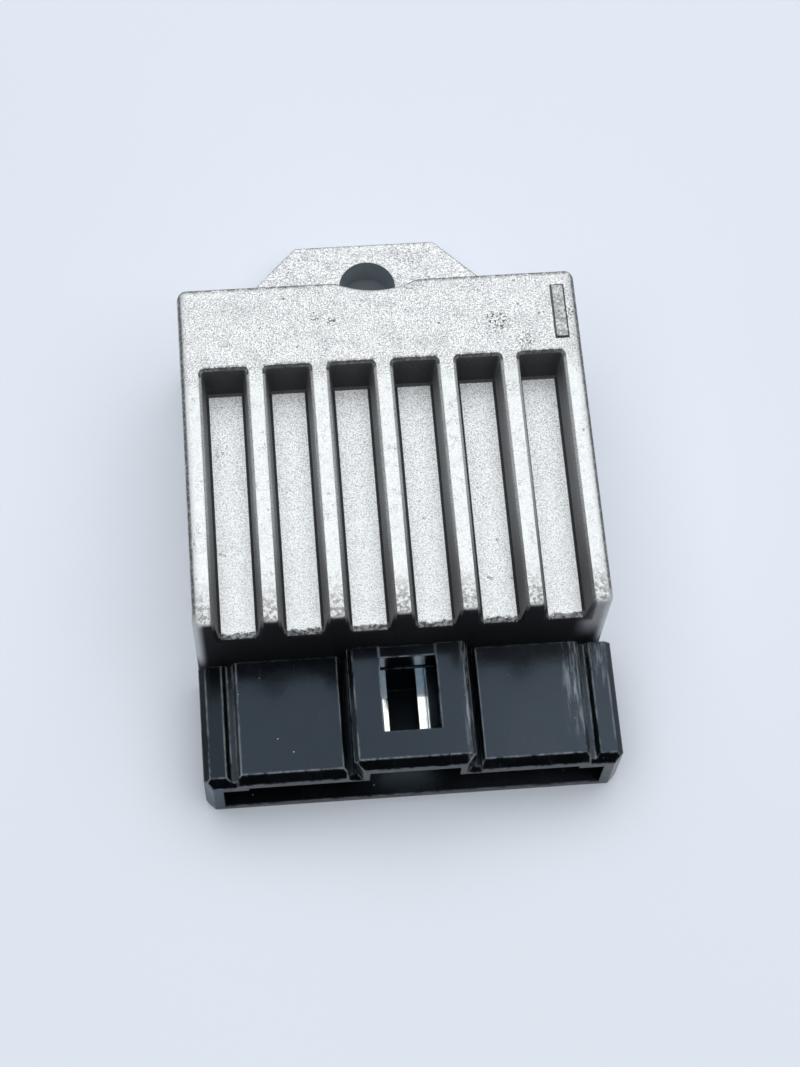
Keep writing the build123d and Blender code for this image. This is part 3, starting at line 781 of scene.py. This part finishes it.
class RECTIFIER_OT_terminals(bpy.types.Operator):
    """Gives the four flat terminals their tin plate."""

    bl_idname = "rectifier.terminals"
    bl_label = "Finish terminals"

    def execute(self, context):
        dress(tin_plate(context.scene.rectifier_electrics), *TERMINALS)
        return {"FINISHED"}


class RECTIFIER_OT_potting(bpy.types.Operator):
    """Gives the potting its resin finish and pours the skin that creeps up the casting's walls."""

    bl_idname = "rectifier.potting"
    bl_label = "Pour potting"

    def execute(self, context):
        settings = context.scene.rectifier_moulding
        dress(potting_resin("potting_resin", settings), "potting_compound")
        points, faces = resin_skin(*box_mm("potting_compound"))
        piece = add_surface("resin_skin", points, faces, potting_resin("resin_skin", settings))
        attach(piece, BODY)
        return {"FINISHED"}


def resin_skin(low, high):
    """Grid over the pocket's floor plan, drawn closer at its rim. Its depth below the resin is
    creep * exp(-d / reach), where d is the distance to the nearest wall, so the middle is level and the rim
    climbs towards the base plane. A slow wave of sine and cosine lies over it."""
    creep, reach, inset, wave = 0.42, 0.9, 0.02, 0.015
    front = low.y + RESIN_START
    count = 61
    share = np.sin(np.linspace(-np.pi / 2, np.pi / 2, count)) * 0.5 + 0.5
    x = low.x + inset + share * (high.x - low.x - 2 * inset)
    y = front + inset + share * (high.y - front - 2 * inset)
    xs, ys = np.meshgrid(x, y)
    wall_distance = np.minimum(np.minimum(xs - x[0], x[-1] - xs), np.minimum(ys - y[0], y[-1] - ys))
    depth = inset + creep * np.exp(-wall_distance / reach)
    swell = wave * np.sin(xs * 0.31 + 0.6) * np.cos(ys * 0.23)
    return np.stack([xs, ys, low.z - depth + swell], axis=-1), grid_faces(count, count)[:, ::-1]


class RECTIFIER_OT_board(bpy.types.Operator):
    """Gives the circuit board its laminate finish."""

    bl_idname = "rectifier.board"
    bl_label = "Finish board"

    def execute(self, context):
        dress(board_laminate(context.scene.rectifier_electrics), "circuit_board")
        return {"FINISHED"}


class RECTIFIER_OT_components(bpy.types.Operator):
    """Gives every component on the board its own finish."""

    bl_idname = "rectifier.components"
    bl_label = "Finish components"

    def execute(self, context):
        settings = context.scene.rectifier_electrics
        epoxy, lacquer = tuple(settings.epoxy), tuple(settings.lacquer)
        silver, gold, brown = (0.62, 0.62, 0.60), (0.50, 0.34, 0.08), (0.10, 0.04, 0.02)
        red, black, charcoal = (0.40, 0.02, 0.02), (0.02, 0.02, 0.02), (0.03, 0.03, 0.03)
        paints = {-2.1: brown, -0.9: black, 0.3: red, 1.9: gold}
        for node in DIODES:
            length = RECTIFIER_LENGTH if node == "rectifier_diode" else DIODE_LENGTH
            bands = [(length / 2 - length * 0.14, length * 0.09, silver)]
            dress(lying_component(node, epoxy, bands, length, settings), node)
        for node in RESISTORS:
            bands = [(place, 0.42, paint) for place, paint in paints.items()]
            dress(lying_component(node, lacquer, bands, RESISTOR_LENGTH, settings), node)
        for node in THYRISTORS:
            dress(power_device(node, settings), node)
        dress(thermal_rubber(), *THERMAL_PADS)
        board_top = box_mm("circuit_board")[1].z
        for node, sleeve, mark, foot in (
            ("smoothing_capacitor", (0.014, 0.018, 0.05), silver, CAPACITOR_FOOT),
            ("sense_transistor", epoxy, charcoal, TRANSISTOR_FOOT),
        ):
            dress(standing_component(node, sleeve, mark, board_top + foot, settings), node)
        return {"FINISHED"}


class RECTIFIER_OT_studio(bpy.types.Operator):
    """Sets up the pale floor, the soft light, the room and the camera."""

    bl_idname = "rectifier.studio"
    bl_label = "Set up studio"

    def execute(self, context):
        scene = context.scene
        settings = scene.rectifier_studio
        add_floor(settings)
        add_lamp(settings)
        add_room(settings, scene)
        add_camera(scene)
        scene.view_settings.view_transform = "Standard"
        return {"FINISHED"}


def add_floor(settings):
    """A large level square at the base plane, in a matt pale finish with slow tone changes and dust. The
    ground in the mounting hole has painted shade."""
    half_side = 6000.0
    g = Graph("floor")
    tone = g.noise(0.006, 3.0).rise(0.30, 0.70)
    dust = g.spots(0.045, 0.022) * g.noise(0.02, 0.0).rise(0.50, 0.60)
    colour = g.mix(tone * 0.5, settings.floor, darker(settings.floor, 0.965))
    colour = g.mix(dust * 0.35, colour, (0.45, 0.48, 0.52))
    # Painted shade on the floor within the mounting hole
    colour = g.mix(g.from_hole().rise(HOLE_EDGE + 0.2, HOLE_EDGE - 0.3), colour, (0.14, 0.150, 0.165))
    material = g.surface(Base_Color=colour, Roughness=0.55 + tone * 0.06, Specular_IOR_Level=0.25)
    xs, ys = np.meshgrid([-half_side, half_side], [-half_side, half_side])
    points = np.stack([xs, ys, np.full_like(xs, CAD_BOX[0][2] / MM)], axis=-1)
    floor = add_surface("floor", points, grid_faces(2, 2), material)


def add_lamp(settings):
    """One square soft light above, behind and to the right, like a large diffuser that lies level."""
    lamp = bpy.data.lights.new("soft_light", "AREA")
    lamp.energy = settings.lamp_power
    lamp.size = settings.lamp_size
    lamp.color = settings.sky
    holder = bpy.data.objects.new("soft_light", lamp)
    holder.location = (*LAMP_PLACE, settings.lamp_height)
    bpy.context.collection.objects.link(holder)


def add_room(settings, scene):
    """Room light by the sine of its height: a pale horizon, a dim band above it and a bright ceiling."""
    levels = {0.0: 0.75, 0.08: 0.70, 0.22: 0.02, 0.50: 0.03, 0.85: 0.72, 1.0: 0.80}
    world = bpy.data.worlds.new("room")
    world.use_nodes = True
    room = Nodes(world.node_tree)
    height = room.parts(room.node("ShaderNodeTexCoord").outputs["Generated"])[2]
    level = room.field("ShaderNodeValToRGB", {"ramp": ("EASE", levels)}, {"Fac": height}, "Color")
    background = room.node("ShaderNodeBackground", {}, {"Color": rgba(settings.sky), "Strength": level})
    room.node("ShaderNodeOutputWorld", {}, {"Surface": background.outputs["Background"]})
    scene.world = world


def add_camera(scene):
    """The camera of the photograph: looking down over the socket, turned a little, with a long lens."""
    back = Vector(CAMERA_BACK).normalized()
    up = back.cross(Vector(CAMERA_RIGHT).normalized()).normalized()
    right = up.cross(back).normalized()
    data = bpy.data.cameras.new("camera")
    data.sensor_width = SENSOR_WIDTH
    data.lens = LENS_PIXELS / FRAME_PIXELS * SENSOR_WIDTH
    data.clip_start = 0.01
    data.clip_end = 50.0
    camera = bpy.data.objects.new("camera", data)
    turn = Matrix((right, up, back)).transposed().to_4x4()
    camera.matrix_world = Matrix.Translation(CAMERA_PLACE) @ turn
    bpy.context.collection.objects.link(camera)
    scene.camera = camera


class RECTIFIER_PT_panel(bpy.types.Panel):
    """Lists the operators and their settings."""

    bl_idname = "RECTIFIER_PT_panel"
    bl_label = "Rectifier"
    bl_space_type = "VIEW_3D"
    bl_region_type = "UI"
    bl_category = "Rectifier"

    def draw(self, context):
        for operator in OPERATORS:
            self.layout.operator(operator.bl_idname)
        for name, group in SETTINGS.items():
            column = self.layout.column()
            for prop in group.__annotations__:
                column.prop(getattr(context.scene, name), prop)


SETTINGS = {
    "rectifier_casting": CastingSettings,
    "rectifier_moulding": MouldingSettings,
    "rectifier_electrics": ElectricsSettings,
    "rectifier_studio": StudioSettings,
}
OPERATORS = (
    RECTIFIER_OT_casting,
    RECTIFIER_OT_socket,
    RECTIFIER_OT_terminals,
    RECTIFIER_OT_potting,
    RECTIFIER_OT_board,
    RECTIFIER_OT_components,
    RECTIFIER_OT_studio,
)
CLASSES = (*SETTINGS.values(), *OPERATORS, RECTIFIER_PT_panel)


def register():
    for entry in CLASSES:
        bpy.utils.register_class(entry)
    for name, group in SETTINGS.items():
        setattr(bpy.types.Scene, name, PointerProperty(type=group))


def unregister():
    for name in SETTINGS:
        delattr(bpy.types.Scene, name)
    for entry in reversed(CLASSES):
        bpy.utils.unregister_class(entry)


def main():
    register()
    for operator in OPERATORS:
        group, call = operator.bl_idname.split(".")
        getattr(getattr(bpy.ops, group), call)()


if __name__ == "__main__":
    main()
